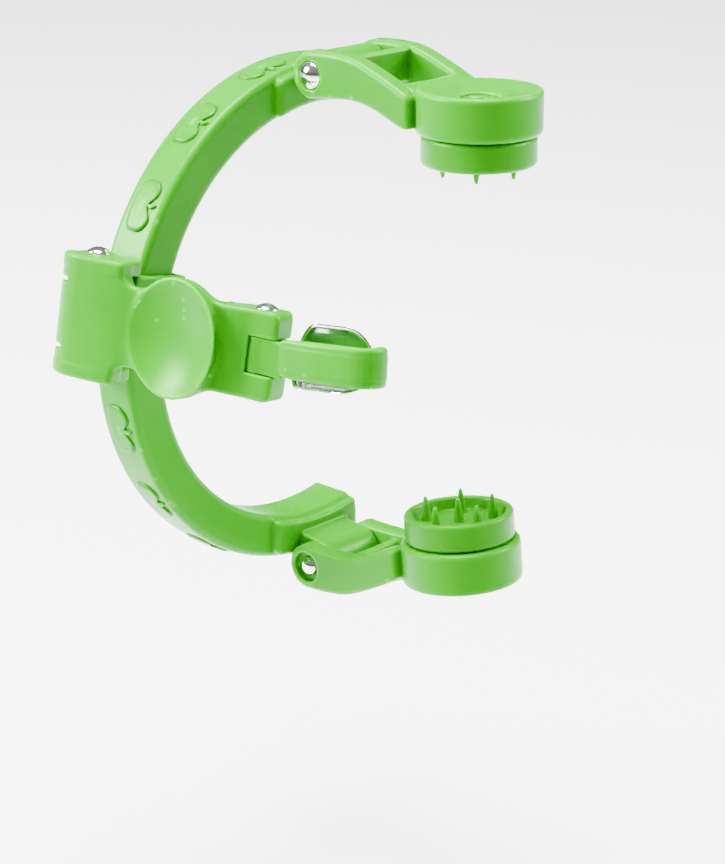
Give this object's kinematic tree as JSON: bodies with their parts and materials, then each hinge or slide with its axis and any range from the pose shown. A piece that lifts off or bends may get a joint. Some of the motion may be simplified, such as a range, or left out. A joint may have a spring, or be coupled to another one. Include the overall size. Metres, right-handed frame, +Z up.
{
  "type": "hand-held apple peeler",
  "caption": "C-shaped bow with two folding clamp arms, turning fruit cups and a sliding lever that carries a swivelling blade",
  "frame": {"origin": "middle of the peeler's overall box as shown", "axes": "+Z up along the fruit axis, +Y from the fruit axis towards the bow, -X from the fruit axis towards the peeling head"},
  "size_m": [0.0698, 0.0615, 0.1022],
  "materials": {
    "green_plastic": "semi-gloss",
    "steel": "polished",
    "blade_steel": "polished"
  },
  "bodies": {
    "bow": {"bow_frame": "green_plastic"},
    "upper_clamp": {"upper_arm": "green_plastic", "upper_arm_pin": "steel"},
    "lower_clamp": {"lower_arm": "green_plastic", "lower_arm_pin": "steel"},
    "upper_fruit_cup": {"upper_cup": "green_plastic"},
    "lower_fruit_cup": {"lower_cup": "green_plastic"},
    "slider": {"slider_body": "green_plastic", "slider_keeper": "green_plastic"},
    "lever": {"peeling_lever": "green_plastic", "lever_pin": "steel", "holder_pin": "steel"},
    "holder": {"blade_holder": "green_plastic"},
    "blade": {"peeling_blade": "blade_steel"}
  },
  "joints": [
    {"name": "upper_arm_fold", "type": "hinge", "parent": "bow", "child": "upper_clamp", "pos_m": [0.02322, 0.01348, 0.04657], "axis": [1, 0, 0], "range_deg": [-90, 85]},
    {"name": "lower_arm_fold", "type": "hinge", "parent": "bow", "child": "lower_clamp", "pos_m": [0.02322, 0.01348, -0.04683], "axis": [-1, 0, 0], "range_deg": [-98.5, 76.5]},
    {"name": "upper_cup_spin", "type": "hinge", "parent": "upper_clamp", "child": "upper_fruit_cup", "pos_m": [0.02322, -0.01701, 0.03967], "axis": [0, 0.0262, 0.9997], "continuous": true},
    {"name": "lower_cup_spin", "type": "hinge", "parent": "lower_clamp", "child": "lower_fruit_cup", "pos_m": [0.02322, -0.01566, -0.03549], "axis": [0, -0.1219, -0.9925], "continuous": true},
    {"name": "head_travel", "type": "hinge", "parent": "bow", "child": "slider", "pos_m": [0.02322, 0.02615, -0.00013], "axis": [0, 1, 0], "range_deg": [-68.5, 47.5]},
    {"name": "lever_swing", "type": "hinge", "parent": "slider", "child": "lever", "pos_m": [-0.02727, 0.02615, 0.00895], "axis": [0.1771, 0, 0.9842], "range_deg": [-50, 5]},
    {"name": "holder_swing", "type": "hinge", "parent": "lever", "child": "holder", "pos_m": [-0.02, -0.00745, 0.00765], "axis": [0.1771, 0, 0.9842], "range_deg": [-22, 18]},
    {"name": "blade_rock", "type": "hinge", "parent": "holder", "child": "blade", "pos_m": [-0.02086, -0.00764, 0.0078], "axis": [-0.231, 0.9713, -0.0576], "range_deg": [-47, 3]}
  ]
}
